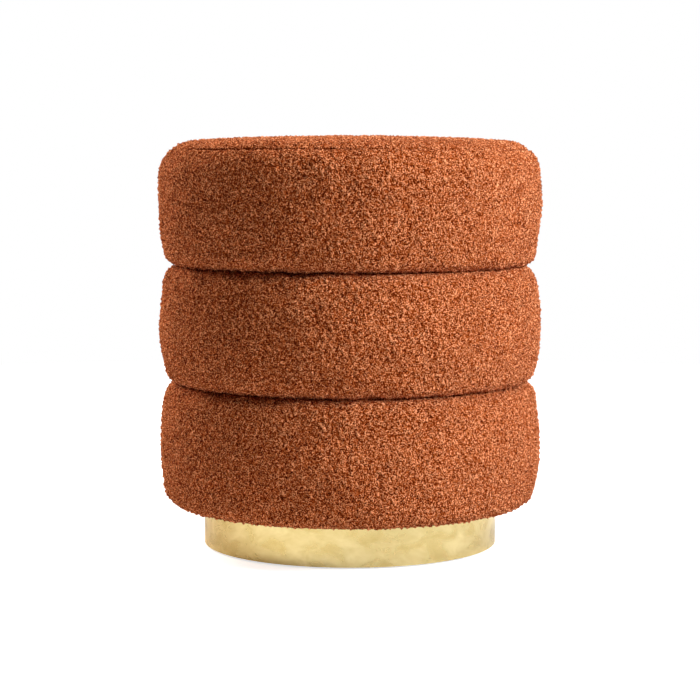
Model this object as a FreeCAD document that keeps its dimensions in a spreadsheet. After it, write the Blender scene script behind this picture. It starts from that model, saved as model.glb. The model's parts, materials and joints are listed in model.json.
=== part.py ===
"""Round storage ottoman: three padded rolls on a gold metal plinth, with a lift-off lid.

The ottoman stands on z = 0 with its axis on the origin, +Z up and its front towards -Y.
Almost every piece is turned, so most outlines are drawn in the plane of radius and height.
"""
import FreeCAD, Part
import math
import os

import Sketcher
from FreeCAD import Placement, Rotation, Vector

DIMENSIONS = {
    # the upholstered rolls, outside of the cover
    "crown_radius": 200.0,
    "groove_radius": 178.0,
    "roll_corner": 17.0,
    "underside": 45.0,
    "groove_level": 173.0,
    "parting": 295.0,
    "lid_gap": 0.4,
    "cover": 2.0,
    "ease": 0.2,
    "turn_under": 140.0,
    "turn_in": 15.0,
    "seam_allowance": 8.0,
    # the lid
    "lid_top": 429.0,
    "lid_crown_level": 358.5,
    "lid_corner": 36.0,
    "lid_corner_radius": 163.0,
    "lid_corner_level": 387.5,
    "top_seam_level": 415.0,
    "lid_board": 10.0,
    "lid_board_radius": 178.0,
    "lid_turn_under": 150.0,
    "locating_radius": 137.0,
    "locating_depth": 13.0,
    # the wooden frame
    "board": 12.0,
    "rim": 15.0,
    "wall": 3.0,
    "wall_outer": 165.0,
    "wall_inner": 142.0,
    "batten_width": 30.0,
    "batten_depth": 15.4,
    "batten_inner": 145.4,
    "lining": 1.0,
    "pull_strip": 1.0,
    "pull_flange": 10.0,
    # the plinth
    "board_bottom": 2.5,
    "plinth_radius": 154.5,
    "plinth_sheet": 0.8,
    "plinth_lip": 6.0,
    "plinth_bore": 114.0,
    "dust_cover": 0.5,
    "dust_cover_radius": 146.0,
    "glide_radius": 12.0,
    "glide_pitch": 120.0,
    "glide_nail": 1.2,
    "glide_nail_length": 10.0,
    "glide_chamfer": 1.0,
    # the fasteners
    "screw_head": 4.0,
    "screw_shank": 2.0,
    "screw_point": 4.0,
    "countersink": 2.0,
    "plinth_screw_pitch": 134.0,
    "plinth_screw": 35.0,
    "board_screw": 30.0,
    "batten_screw_pitch": 153.0,
    "batten_screw": 40.0,
    "locating_screw_pitch": 110.0,
    "locating_screw": 22.0,
    "staple_crown": 10.0,
    "staple_wire": 1.2,
    "staple_flat": 0.6,
    "staple_bite": 8.0,
    "wall_staple_bite": 2.0,
    "base_staple_pitch": 147.0,
    "lid_staple_pitch": 156.0,
}
BATTENS = 6
SCREWS = 6
GLIDES = 4
STAPLES = 24
BUTT_SEAM_DEGREES = 0.15
FULL_TURN = 360.0

doc = FreeCAD.newDocument("storage_ottoman")
sheet = doc.addObject("Spreadsheet::Sheet", "dims")
nodes = []


class Size:
    """A length: its number, and the spreadsheet expression that drives it."""

    def __init__(self, number, text):
        self.number = number
        self.text = text

    def combine(self, other, sign, number):
        text = other.text if isinstance(other, Size) else str(other)
        return Size(number, f"({self.text} {sign} {text})")

    def __add__(self, other):
        return self.combine(other, "+", self.number + number_of(other))

    def __sub__(self, other):
        return self.combine(other, "-", self.number - number_of(other))

    def __truediv__(self, other):
        return self.combine(other, "/", self.number / number_of(other))


def number_of(size):
    return size.number if isinstance(size, Size) else size


def fill_sheet():
    """Writes each driving dimension into the sheet under its own name."""
    for row, (name, value) in enumerate(DIMENSIONS.items(), start=1):
        sheet.set(f"A{row}", name)
        sheet.set(f"B{row}", str(value))
        sheet.setAlias(f"B{row}", name)
    doc.recompute()


def dim(name):
    return Size(DIMENSIONS[name], f"dims.{name}")


fill_sheet()
ZERO = Size(0.0, "0")
cover = dim("cover")
ease = dim("ease")
base_bottom = dim("underside") + cover
base_top = base_bottom + dim("board")
body_top = dim("parting") - dim("lid_gap") / 2
rim_top = body_top - cover
rim_bottom = rim_top - dim("rim")
lid_bottom = dim("parting") + dim("lid_gap") / 2
lid_board_bottom = lid_bottom + cover
lid_board_top = lid_board_bottom + dim("lid_board")
locating_bottom = lid_board_bottom - dim("locating_depth")
plinth_board_top = dim("board_bottom") + dim("board")
wood_radius = dim("plinth_radius") - dim("plinth_sheet")
floor_panel_top = base_top + dim("wall")


# ---------------------------------------------------------------- sketches


def plane_of(body, role):
    return next(o for o in body.Origin.OriginFeatures if o.Role == role)


def new_sketch(body, role="XZ_Plane", offset=None):
    """A sketch on one of the body's own planes, moved off it by offset, a Size."""
    sketch = body.newObject("Sketcher::SketchObject", f"{body.Name}_sketch")
    sketch.AttachmentSupport = [(plane_of(body, role), "")]
    sketch.MapMode = "FlatFace"
    if offset is not None:
        sketch.AttachmentOffset = Placement(Vector(0, 0, offset.number), Rotation())
        sketch.setExpression("AttachmentOffset.Base.z", offset.text)
    return sketch


def bind(sketch, kind, *where, size):
    """Adds one dimension to the sketch and drives it from the sheet."""
    index = sketch.addConstraint(Sketcher.Constraint(kind, *where, size.number))
    sketch.setExpression(f"Constraints[{index}]", size.text)


def fix_point(sketch, geo, pos, across, up):
    """Places a point of the sketch at two Sizes from the sketch's origin."""
    for kind, size, axis in (("DistanceX", across, -2), ("DistanceY", up, -1)):
        if size.text == ZERO.text:
            sketch.addConstraint(Sketcher.Constraint("PointOnObject", geo, pos, axis))
        else:
            bind(sketch, kind, -1, 1, geo, pos, size=size)


class End:
    """A loose end of an arc: which point of the sketch it is, and where it lies."""

    def __init__(self, geo, pos, point):
        self.geo = geo
        self.pos = pos
        self.point = point


def point_of(stop):
    return stop.point if isinstance(stop, End) else Vector(stop[0].number, stop[1].number, 0)


def draw_lines(sketch, stops, closed=True):
    """Joins stops with straight lines: each is a pair of Sizes, or the End of an arc."""
    pairs = list(zip(stops, stops[1:]))
    if closed:
        pairs.append((stops[-1], stops[0]))
    placed = {}
    for first, last in pairs:
        geo = sketch.addGeometry(Part.LineSegment(point_of(first), point_of(last)))
        for pos, stop in ((1, first), (2, last)):
            if isinstance(stop, End):
                sketch.addConstraint(Sketcher.Constraint("Coincident", geo, pos, stop.geo, stop.pos))
            elif id(stop) in placed:
                sketch.addConstraint(Sketcher.Constraint("Coincident", geo, pos, *placed[id(stop)]))
            else:
                fix_point(sketch, geo, pos, *stop)
                placed[id(stop)] = (geo, pos)


def draw_axis(sketch, pitch):
    """An upright construction line at a distance from the ottoman's axis, to turn an outline about."""
    foot = Vector(pitch.number, 0, 0)
    axis = sketch.addGeometry(Part.LineSegment(foot, foot + Vector(0, 1, 0)), True)
    fix_point(sketch, axis, 1, pitch, ZERO)
    fix_point(sketch, axis, 2, pitch, Size(1.0, "1"))


def draw_arc(sketch, centre, radius, angles):
    circle = Part.Circle(centre, Vector(0, 0, 1), radius)
    return sketch.addGeometry(Part.ArcOfCircle(circle, *sorted(angles)))


def draw_crown(sketch, tip, corner, radius, level=None, joined=None, dome=False):
    """Draws a shallow arc from tip that runs tangent into a corner arc.

    tip is where the shallow arc is square to the radius, or to the axis on a dome. The corner arc
    ends at the height level, or level with the axis of its own centre. Returns (tip, loose end).
    """
    top = Vector(tip[0].number, tip[1].number, 0)
    centre = Vector(corner[0].number, corner[1].number, 0)
    inward = Vector(0, -1, 0) if dome else Vector(-1, 0, 0)
    reach = top - centre
    depth = -reach.dot(inward)
    big = (reach.Length**2 - radius.number**2) / (2 * (depth - radius.number))
    big_centre = top + inward * big
    joint = centre + (centre - big_centre).normalize() * radius.number
    if level is None:
        loose = centre + Vector(0, math.copysign(radius.number, -reach.y), 0)
    else:
        rise = level.number - centre.y
        loose = centre + Vector(math.sqrt(radius.number**2 - rise**2), rise, 0)

    def angle(point, about):
        return math.atan2(point.y - about.y, point.x - about.x)

    rising = angle(loose, centre) < angle(joint, centre)
    first, last = (1, 2) if rising else (2, 1)
    small_arc = draw_arc(sketch, centre, radius.number, (angle(loose, centre), angle(joint, centre)))
    big_arc = draw_arc(sketch, big_centre, big, (angle(joint, big_centre), angle(top, big_centre)))
    fix_point(sketch, small_arc, 3, *corner)
    bind(sketch, "Radius", small_arc, size=radius)
    if level is None:
        sketch.addConstraint(Sketcher.Constraint("Vertical", small_arc, 3, small_arc, first))
    else:
        bind(sketch, "DistanceY", -1, 1, small_arc, first, size=level)
    sketch.addConstraint(Sketcher.Constraint("Tangent", small_arc, last, big_arc, first))
    if joined is not None:
        sketch.addConstraint(Sketcher.Constraint("Coincident", big_arc, last, joined.geo, joined.pos))
    else:
        fix_point(sketch, big_arc, last, *tip)
    if dome:
        sketch.addConstraint(Sketcher.Constraint("PointOnObject", big_arc, 3, -2))
    else:
        sketch.addConstraint(Sketcher.Constraint("Horizontal", big_arc, 3, big_arc, last))
    return End(big_arc, last, top), End(small_arc, first, loose)


def draw_roll_side(sketch, low, high, inset):
    """The round side of a roll between two levels, inset by a Size. Returns its low and high ends."""
    radius = dim("roll_corner") - inset
    tip = (dim("crown_radius") - inset, (low + high) / 2)
    tip_end, low_end = draw_crown(sketch, tip, (dim("groove_radius"), low + dim("roll_corner")), radius)
    corner = (dim("groove_radius"), high - dim("roll_corner"))
    high_end = draw_crown(sketch, tip, corner, radius, joined=tip_end)[1]
    return low_end, high_end


def draw_lid_side(sketch, inset, low_level=None, high_level=None):
    """The round side of the lid, inset by a Size. Returns its low and high ends."""
    tip = (dim("crown_radius") - inset, dim("lid_crown_level"))
    corner = (dim("groove_radius"), lid_bottom + dim("roll_corner"))
    tip_end, low_end = draw_crown(sketch, tip, corner, dim("roll_corner") - inset, level=low_level)
    corner = (dim("lid_corner_radius"), dim("lid_corner_level"))
    radius = dim("lid_corner") - inset
    high_end = draw_crown(sketch, tip, corner, radius, level=high_level, joined=tip_end)[1]
    return low_end, high_end


def draw_lid_dome(sketch, inset, level):
    """The lid's domed top, from its middle out to a level on the corner. Returns both ends."""
    tip = (ZERO, dim("lid_top") - inset)
    corner = (dim("lid_corner_radius"), dim("lid_corner_level"))
    return draw_crown(sketch, tip, corner, dim("lid_corner") - inset, level=level, dome=True)


# ------------------------------------------------------------------ bodies


def new_body(label):
    body = doc.addObject("PartDesign::Body", label)
    body.AllowCompound = True
    return body


def revolve(body, sketch, degrees=FULL_TURN, axis="V_Axis"):
    turned = body.newObject("PartDesign::Revolution", f"{body.Name}_turned")
    turned.Profile = sketch
    turned.ReferenceAxis = (sketch, [axis])
    turned.Angle = degrees
    return turned


def pattern(body, feature, count):
    """Repeats a feature evenly round the ottoman's axis."""
    ring = body.newObject("PartDesign::PolarPattern", f"{body.Name}_ring")
    ring.Originals = [feature]
    ring.Axis = (plane_of(body, "Z_Axis"), [""])
    ring.Angle = FULL_TURN
    ring.Occurrences = count
    body.Tip = ring


def keep(feature, label):
    """Marks a finished sub-part, which is written to a file of its own."""
    feature.Label = label
    nodes.append(feature)
    return feature


def turned_piece(label, draw, degrees=FULL_TURN):
    """A body turned about the ottoman's axis from the outline that draw makes."""
    body = new_body(label)
    sketch = new_sketch(body)
    draw(sketch)
    revolve(body, sketch, degrees)
    return body


def polygon(*points):
    return lambda sketch: draw_lines(sketch, list(points))


def ring_outline(inner, outer, bottom, top):
    return polygon((inner, bottom), (outer, bottom), (outer, top), (inner, top))


def drilled(label, blank, *fasteners):
    """The blank with a hole for each fastener that goes into it."""
    blank.Label = f"{label}_blank"
    tool = fasteners[0]
    if len(fasteners) > 1:
        tool = doc.addObject("Part::Compound", f"{label}_fasteners")
        tool.Links = list(fasteners)
    cut = doc.addObject("Part::Cut", label)
    cut.Base = blank
    cut.Tool = tool
    return keep(cut, label)


# --------------------------------------------------------------- fasteners


def screws(label, pitch, head_level, length, up, turn=0.0):
    """A ring of countersunk wood screws, driven up or down from head_level."""
    body = new_body(label)
    sketch = new_sketch(body)
    shank = pitch + dim("screw_shank")
    if up:
        neck = head_level + dim("countersink")
        end = head_level + length
        point = end - dim("screw_point")
    else:
        neck = head_level - dim("countersink")
        end = head_level - length
        point = end + dim("screw_point")
    head = (pitch + dim("screw_head"), head_level)
    draw_lines(sketch, [(pitch, head_level), head, (shank, neck), (shank, point), (pitch, end)])
    draw_axis(sketch, pitch)
    pattern(body, revolve(body, sketch, axis="Axis0"), SCREWS)
    body.Placement = Placement(Vector(), Rotation(Vector(0, 0, 1), turn))
    return keep(body, label)


def staples(label, role, offset, crown, through, outward=1):
    """A ring of staples. The crown lies at the Size crown, and the legs reach through from it."""
    body = new_body(label)
    sketch = new_sketch(body, role, offset)
    half = dim("staple_crown") / 2
    inner = half - dim("staple_flat")
    step = dim("staple_flat")
    back = crown + step if outward > 0 else crown - step
    tip = crown + through if outward > 0 else crown - through

    def place(side, depth):
        return (depth, side) if role == "XY_Plane" else (side, depth)

    corners = [(half, crown), (half, tip), (inner, tip), (inner, back)]
    outline = [place(s, d) for s, d in corners]
    outline += [place(ZERO - s, d) for s, d in reversed(corners)]
    draw_lines(sketch, outline)
    pad = body.newObject("PartDesign::Pad", f"{label}_pad")
    pad.Profile = sketch
    pad.Midplane = True
    pad.setExpression("Length", "dims.staple_wire")
    pattern(body, pad, STAPLES)
    body.Placement = Placement(Vector(), Rotation(Vector(0, 0, 1), FULL_TURN / STAPLES / 2))
    return keep(body, label)


def floor_glides():
    """Four plastic glides that carry the ottoman, each with its own nail."""
    body = new_body("floor_glides")
    sketch = new_sketch(body)
    pitch = dim("glide_pitch")
    glide_top = dim("board_bottom") - dim("dust_cover")
    rim_edge = pitch + dim("glide_radius")
    nail = pitch + dim("glide_nail")
    nail_end = glide_top + dim("glide_nail_length")
    chamfer = dim("glide_chamfer")
    outline = [(pitch, ZERO), (rim_edge - chamfer, ZERO), (rim_edge, chamfer), (rim_edge, glide_top)]
    outline += [(nail, glide_top), (nail, nail_end), (pitch, nail_end)]
    draw_lines(sketch, outline)
    draw_axis(sketch, pitch)
    pattern(body, revolve(body, sketch, axis="Axis0"), GLIDES)
    body.Placement = Placement(Vector(), Rotation(Vector(0, 0, 1), FULL_TURN / GLIDES / 2))
    return keep(body, "floor_glides")


# ------------------------------------------------------------------ plinth


def plinth():
    """The drum that the rolls stand on: a wooden core wrapped in gold-coated sheet."""
    bottom = dim("board_bottom")
    glides = floor_glides()
    half_step = FULL_TURN / SCREWS / 2
    pitch = dim("plinth_screw_pitch")
    board_screws = screws("plinth_board_screws", pitch, bottom, dim("board_screw"), up=True, turn=half_step)
    plinth_screws = screws("plinth_screws", pitch, base_top, dim("plinth_screw"), up=False)
    dust = turned_piece(
        "dust_cover", ring_outline(ZERO, dim("dust_cover_radius"), bottom - dim("dust_cover"), bottom)
    )
    drilled("dust_cover", dust, glides)
    board = turned_piece("plinth_board", ring_outline(ZERO, wood_radius, bottom, plinth_board_top))
    drilled("plinth_board", board, glides, board_screws)
    ring = ring_outline(dim("plinth_bore"), wood_radius, plinth_board_top, dim("underside"))
    drilled("plinth_ring", turned_piece("plinth_ring", ring), board_screws, plinth_screws)

    lip_bottom = bottom - dim("plinth_sheet")
    lip_inner = wood_radius - dim("plinth_lip")
    outline = polygon(
        (lip_inner, lip_bottom),
        (dim("plinth_radius"), lip_bottom),
        (dim("plinth_radius"), dim("underside")),
        (wood_radius, dim("underside")),
        (wood_radius, bottom),
        (lip_inner, bottom),
    )
    band = turned_piece("plinth_band", outline, FULL_TURN - BUTT_SEAM_DEGREES)
    band.Placement = Placement(Vector(), Rotation(Vector(0, 0, 1), FULL_TURN / 4))
    keep(band, "plinth_band")
    return plinth_screws


# ------------------------------------------------------------------- frame


def frame(plinth_screws):
    """The wooden drum inside the rolls: base, battens, rim and two thin walls."""
    pitch = dim("batten_screw_pitch")
    lower_screws = screws("batten_screws_lower", pitch, base_bottom, dim("batten_screw"), up=True)
    upper_screws = screws("batten_screws_upper", pitch, rim_top, dim("batten_screw"), up=False)
    base_staples = staples(
        "base_staples", "YZ_Plane", dim("base_staple_pitch"), dim("underside"), cover + dim("staple_bite")
    )
    rim_middle = rim_top - dim("rim") / 2
    rim_inner = dim("wall_inner") - cover
    rim_staples = staples("rim_staples", "XY_Plane", rim_middle, rim_inner, cover + dim("staple_bite"))
    flange_middle = dim("groove_level") - dim("pull_flange") / 2
    flange_face = dim("wall_outer") + dim("pull_strip")
    strip_staples = staples(
        "pull_strip_staples",
        "XY_Plane",
        flange_middle,
        flange_face,
        dim("pull_strip") + dim("wall_staple_bite"),
        outward=-1,
    )

    base = turned_piece("base_board", ring_outline(ZERO, dim("wall_outer"), base_bottom, base_top))
    drilled("base_board", base, plinth_screws, lower_screws, base_staples)
    rim = ring_outline(dim("wall_inner"), dim("wall_outer"), rim_bottom, rim_top)
    drilled("rim_ring", turned_piece("rim_ring", rim), upper_screws, rim_staples)
    for number in range(BATTENS):
        batten(number, lower_screws, upper_screws)

    outer = ring_outline(dim("wall_outer") - dim("wall"), dim("wall_outer"), base_top, rim_bottom)
    drilled("outer_wall", turned_piece("outer_wall", outer), strip_staples)
    inner = ring_outline(dim("wall_inner"), dim("wall_inner") + dim("wall"), base_top, rim_bottom)
    keep(turned_piece("inner_wall", inner), "inner_wall")
    pull_strip(strip_staples)
    return base_staples, rim_staples


def batten(number, *fasteners):
    """One upright between the base board and the rim ring."""
    label = f"frame_batten_{number + 1}"
    body = new_body(label)
    sketch = new_sketch(body, "XY_Plane", base_top)
    near = dim("batten_inner")
    far = near + dim("batten_depth")
    half = dim("batten_width") / 2
    draw_lines(sketch, [(near, ZERO - half), (far, ZERO - half), (far, half), (near, half)])
    pad = body.newObject("PartDesign::Pad", f"{label}_pad")
    pad.Profile = sketch
    pad.setExpression("Length", (rim_bottom - base_top).text)
    body.Placement = Placement(Vector(), Rotation(Vector(0, 0, 1), number * FULL_TURN / BATTENS))
    drilled(label, body, *fasteners)


def pull_strip(strip_staples):
    """The webbing that holds the sewn groove in: a flange on the wall and a tongue out to the seam."""
    wall = dim("wall_outer")
    level = dim("groove_level")
    half = dim("pull_strip") / 2
    flange = wall + dim("pull_strip")
    tongue = dim("groove_radius") - dim("seam_allowance")
    outline = polygon(
        (wall, level - dim("pull_flange")),
        (flange, level - dim("pull_flange")),
        (flange, level - half),
        (tongue, level - half),
        (tongue, level + half),
        (wall, level + half),
    )
    drilled("groove_pull_strip", turned_piece("groove_pull_strip", outline), strip_staples)


# ---------------------------------------------------------- body upholstery


def foam_roll(label, low, high):
    """One foam roll, which lies inside its cover and outside the wooden drum."""
    inset = cover + ease

    def draw(sketch):
        low_end, high_end = draw_roll_side(sketch, low, high, inset)
        inner = dim("wall_outer") + dim("pull_strip") + ease
        draw_lines(sketch, [high_end, (inner, high - inset), (inner, low + inset), low_end], closed=False)

    keep(turned_piece(label, draw), label)


def lower_cover(base_staples):
    """The boucle round the lower roll, from under the base board up to the sewn groove."""
    low, high = dim("underside"), dim("groove_level")
    tongue = dim("groove_radius") - dim("seam_allowance")

    def draw(sketch):
        low_out, high_out = draw_roll_side(sketch, low, high, ZERO)
        low_in, high_in = draw_roll_side(sketch, low, high, cover)
        draw_lines(sketch, [high_out, (tongue, high), (tongue, high - cover), high_in], closed=False)
        flap = dim("turn_under")
        draw_lines(sketch, [low_in, (flap, low + cover), (flap, low), low_out], closed=False)

    drilled("lower_roll_cover", turned_piece("lower_roll_cover", draw), base_staples)


def middle_cover(rim_staples):
    """The boucle round the middle roll, from the sewn groove over the rim and down inside it."""
    low, high = dim("groove_level"), body_top
    tongue = dim("groove_radius") - dim("seam_allowance")
    face = dim("wall_inner")

    def draw(sketch):
        low_out, high_out = draw_roll_side(sketch, low, high, ZERO)
        low_in, high_in = draw_roll_side(sketch, low, high, cover)
        draw_lines(sketch, [low_in, (tongue, low + cover), (tongue, low), low_out], closed=False)
        edge = high - dim("turn_in")
        turned = [(face - cover, high), (face - cover, edge), (face, edge), (face, high - cover)]
        draw_lines(sketch, [high_out, *turned, high_in], closed=False)

    drilled("middle_roll_cover", turned_piece("middle_roll_cover", draw), rim_staples)


def inner_lining():
    """The cloth inside the storage space, and the panel on its floor."""
    face = dim("wall_inner")
    lining = dim("lining")
    panel = ring_outline(ZERO, face - ease, base_top, floor_panel_top)
    keep(turned_piece("floor_panel", panel), "floor_panel")
    floor = ring_outline(ZERO, face - lining - ease, floor_panel_top, floor_panel_top + lining)
    keep(turned_piece("floor_lining", floor), "floor_lining")
    wall_top = body_top - dim("turn_in") - ease
    wall = ring_outline(face - lining, face, floor_panel_top, wall_top)
    keep(turned_piece("wall_lining", wall), "wall_lining")


# --------------------------------------------------------------------- lid


def lid_frame():
    """The lid's board, and the disc under it that drops into the opening."""
    pitch = dim("locating_screw_pitch")
    disc_screws = screws("locating_disc_screws", pitch, locating_bottom, dim("locating_screw"), up=True)
    lid_staples = staples(
        "lid_staples", "YZ_Plane", dim("lid_staple_pitch"), lid_bottom, cover + dim("staple_bite")
    )
    board = ring_outline(ZERO, dim("lid_board_radius"), lid_board_bottom, lid_board_top)
    drilled("lid_board", turned_piece("lid_board", board), disc_screws, lid_staples)
    disc = ring_outline(ZERO, dim("locating_radius"), locating_bottom, lid_board_bottom)
    drilled("locating_disc", turned_piece("locating_disc", disc), disc_screws)
    return lid_staples


def lid_filling():
    """The foam block on the lid board, the wadding round the board's edge and the domed top layer."""
    inset = cover + ease
    foam_bottom = lid_board_top + ease
    foam_top = dim("top_seam_level")

    def draw_foam(sketch):
        low_end, high_end = draw_lid_side(sketch, inset, low_level=foam_bottom, high_level=foam_top)
        draw_lines(sketch, [high_end, (ZERO, foam_top), (ZERO, foam_bottom), low_end], closed=False)

    def draw_wadding(sketch):
        tip_end, rim_end = draw_lid_dome(sketch, inset, foam_top + ease)
        draw_lines(sketch, [tip_end, (ZERO, foam_top + ease), rim_end], closed=False)

    keep(turned_piece("lid_foam", draw_foam), "lid_foam")
    keep(turned_piece("lid_top_wadding", draw_wadding), "lid_top_wadding")
    keep(turned_piece("lid_edge_wadding", draw_edge_wadding), "lid_edge_wadding")


def draw_edge_wadding(sketch):
    """The strip that rounds off the edge of the lid board, under the foam."""
    radius = dim("roll_corner") - cover - ease
    corner = (dim("groove_radius"), lid_bottom + dim("roll_corner"))
    inner = dim("lid_board_radius") + ease
    centre = Vector(corner[0].number, corner[1].number, 0)
    run = inner.number - centre.x
    drop = math.sqrt(radius.number**2 - run**2)
    rise = lid_board_top.number - centre.y
    angles = (math.atan2(-drop, run), math.atan2(rise, math.sqrt(radius.number**2 - rise**2)))
    arc = draw_arc(sketch, centre, radius.number, angles)
    fix_point(sketch, arc, 3, *corner)
    bind(sketch, "Radius", arc, size=radius)
    bind(sketch, "DistanceX", -1, 1, arc, 1, size=inner)
    bind(sketch, "DistanceY", -1, 1, arc, 2, size=lid_board_top)
    start = End(arc, 1, centre + Vector(run, -drop, 0))
    finish = End(arc, 2, centre + Vector(math.sqrt(radius.number**2 - rise**2), rise, 0))
    draw_lines(sketch, [finish, (inner, lid_board_top), start], closed=False)


def lid_covers(lid_staples):
    """The boucle side band and top panel, which meet in the seam, and the lining underneath."""
    seam = dim("top_seam_level")

    def draw_band(sketch):
        low_out, high_out = draw_lid_side(sketch, ZERO, high_level=seam)
        low_in, high_in = draw_lid_side(sketch, cover, high_level=seam)
        flap = dim("lid_turn_under")
        draw_lines(sketch, [high_out, high_in], closed=False)
        draw_lines(sketch, [low_in, (flap, lid_board_bottom), (flap, lid_bottom), low_out], closed=False)

    def draw_top(sketch):
        tip_out, rim_out = draw_lid_dome(sketch, ZERO, seam)
        tip_in, rim_in = draw_lid_dome(sketch, cover, seam)
        draw_lines(sketch, [tip_out, tip_in], closed=False)
        draw_lines(sketch, [rim_out, rim_in], closed=False)

    drilled("lid_side_cover", turned_piece("lid_side_cover", draw_band), lid_staples)
    keep(turned_piece("lid_top_cover", draw_top), "lid_top_cover")

    lining = dim("lining")
    disc = dim("locating_radius")
    flap = dim("lid_turn_under") - ease
    outline = polygon(
        (ZERO, locating_bottom - lining),
        (disc + lining, locating_bottom - lining),
        (disc + lining, lid_board_bottom - lining),
        (flap, lid_board_bottom - lining),
        (flap, lid_board_bottom),
        (disc, lid_board_bottom),
        (disc, locating_bottom),
        (ZERO, locating_bottom),
    )
    keep(turned_piece("lid_under_lining", outline), "lid_under_lining")


# ------------------------------------------------------------------- files


def check(feature):
    """Stops on a feature that failed, or that holds no valid solid."""
    if any(word in feature.State for word in ("Invalid", "Error")):
        raise RuntimeError(f"{feature.Label}: {feature.State}")
    if feature in nodes:
        shape = feature.Shape
        if shape.isNull() or not shape.isValid() or not shape.Solids or shape.Volume <= 0:
            raise RuntimeError(f"{feature.Label}: no valid solid")


def main():
    plinth_screws = plinth()
    base_staples, rim_staples = frame(plinth_screws)
    foam_roll("foam_roll_lower", dim("underside"), dim("groove_level"))
    foam_roll("foam_roll_middle", dim("groove_level"), body_top)
    lower_cover(base_staples)
    middle_cover(rim_staples)
    inner_lining()
    lid_staples = lid_frame()
    lid_filling()
    lid_covers(lid_staples)
    doc.recompute()
    for feature in doc.Objects:
        check(feature)
    os.makedirs("parts", exist_ok=True)
    for node in nodes:
        node.Shape.exportStep(f"parts/{node.Label}.step")
        box = node.Shape.optimalBoundingBox()
        solids = len(node.Shape.Solids)
        span = f"z {box.ZMin:7.2f} to {box.ZMax:7.2f}, widest {box.XLength:7.2f}"
        print(f"{node.Label:24s} {solids:3d} solids, {node.Shape.Volume / 1000:9.2f} cm3, {span}")
    print(f"{len(nodes)} nodes")


main()
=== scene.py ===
"""A round storage ottoman in rust boucle on a gold plinth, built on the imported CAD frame.

Every length is in metres. The ottoman stands on z = 0, its axis is the Z axis and its front faces -Y.
The boucle covers, the linings and the dust cover are made here, from sizes read from the frame.
Every other piece is the CAD node with a finish of its own.
"""

import json
import math

import bpy
import numpy as np
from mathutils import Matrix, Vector


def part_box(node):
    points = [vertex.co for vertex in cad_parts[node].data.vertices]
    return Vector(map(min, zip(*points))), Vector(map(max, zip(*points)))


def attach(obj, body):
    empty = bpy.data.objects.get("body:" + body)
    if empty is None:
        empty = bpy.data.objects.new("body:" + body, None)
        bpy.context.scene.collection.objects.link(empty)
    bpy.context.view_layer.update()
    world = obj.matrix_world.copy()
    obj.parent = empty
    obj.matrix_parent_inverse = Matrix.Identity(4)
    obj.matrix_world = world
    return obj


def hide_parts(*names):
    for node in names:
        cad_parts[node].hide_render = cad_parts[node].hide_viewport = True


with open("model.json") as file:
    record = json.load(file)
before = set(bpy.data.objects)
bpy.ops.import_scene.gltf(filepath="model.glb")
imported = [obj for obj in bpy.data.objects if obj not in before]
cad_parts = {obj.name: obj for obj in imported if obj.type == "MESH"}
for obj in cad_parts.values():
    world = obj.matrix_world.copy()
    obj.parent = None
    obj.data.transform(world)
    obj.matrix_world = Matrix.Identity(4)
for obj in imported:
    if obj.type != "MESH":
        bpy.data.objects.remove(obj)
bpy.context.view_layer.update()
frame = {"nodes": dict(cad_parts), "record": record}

MM = 0.001
TURN = 2 * math.pi
RIGHT = math.pi / 2

# the covers' outlines, from the frame
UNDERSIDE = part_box("lower_roll_cover")[0].z
GROOVE_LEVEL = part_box("lower_roll_cover")[1].z
BODY_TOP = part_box("middle_roll_cover")[1].z
LID_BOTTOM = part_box("lid_side_cover")[0].z
TOP_SEAM_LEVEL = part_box("lid_side_cover")[1].z
LID_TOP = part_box("lid_top_cover")[1].z
CROWN_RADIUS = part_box("middle_roll_cover")[1].x
GROOVE_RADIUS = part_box("lid_board")[1].x
WALL_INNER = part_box("wall_lining")[1].x
TURN_IN_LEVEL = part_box("wall_lining")[1].z
FLOOR_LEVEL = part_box("floor_lining")[1].z
LID_TURN_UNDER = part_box("lid_under_lining")[1].x
DISC_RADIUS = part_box("locating_disc")[1].x
DISC_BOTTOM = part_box("lid_under_lining")[0].z

# the rest of the outlines, the same as in the CAD model
TURN_UNDER = 140 * MM
ROLL_CORNER = 17 * MM
LID_CORNER = 36 * MM
LID_CORNER_RADIUS = CROWN_RADIUS - 37 * MM
LID_CORNER_LEVEL = LID_TOP - 41.5 * MM
LID_CROWN_LEVEL = LID_TOP - 70.5 * MM
COVER = 2 * MM
LINING = 1 * MM
SEAM_ALLOWANCE = 8 * MM

# the top seam, where the lid's covers meet on its corner arc and turn in
TOP_SEAM_RISE = TOP_SEAM_LEVEL - LID_CORNER_LEVEL
TOP_SEAM_RADIUS = LID_CORNER_RADIUS + math.sqrt(LID_CORNER ** 2 - TOP_SEAM_RISE ** 2)
TOP_SEAM_TUCK = 1.8 * MM
TOP_SEAM_GAP = 1.0 * MM
NEAR_TOP = TOP_SEAM_LEVEL - 10 * MM

# how far along an outline its sharp corners are rounded: usually, and where cloth is pulled tight
SOFT = 3 * MM
CRISP = 0.5 * MM

# how far apart the points of the covers' meshes are: where they show, inside the shells, and on flaps
PITCH = 1.45 * MM
HIDDEN_PITCH = 12 * MM
FLAP_PITCH = 2.6 * MM

# the boucle pile: its depth, how far its gaps lie below the outline, and its yarn
PILE = 1.75 * MM
PILE_SINK = 1.25 * MM
YARN_LAYERS = 3
LOOP_SIZE = 9.5 * MM
LOOP_STEP = 1.25
YARN_RADIUS = 1.35 * MM
DIP_SIZE = 6 * MM
STRAY_SIZE = 4.2 * MM
STRAY_LOOPS = 0.9

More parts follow.
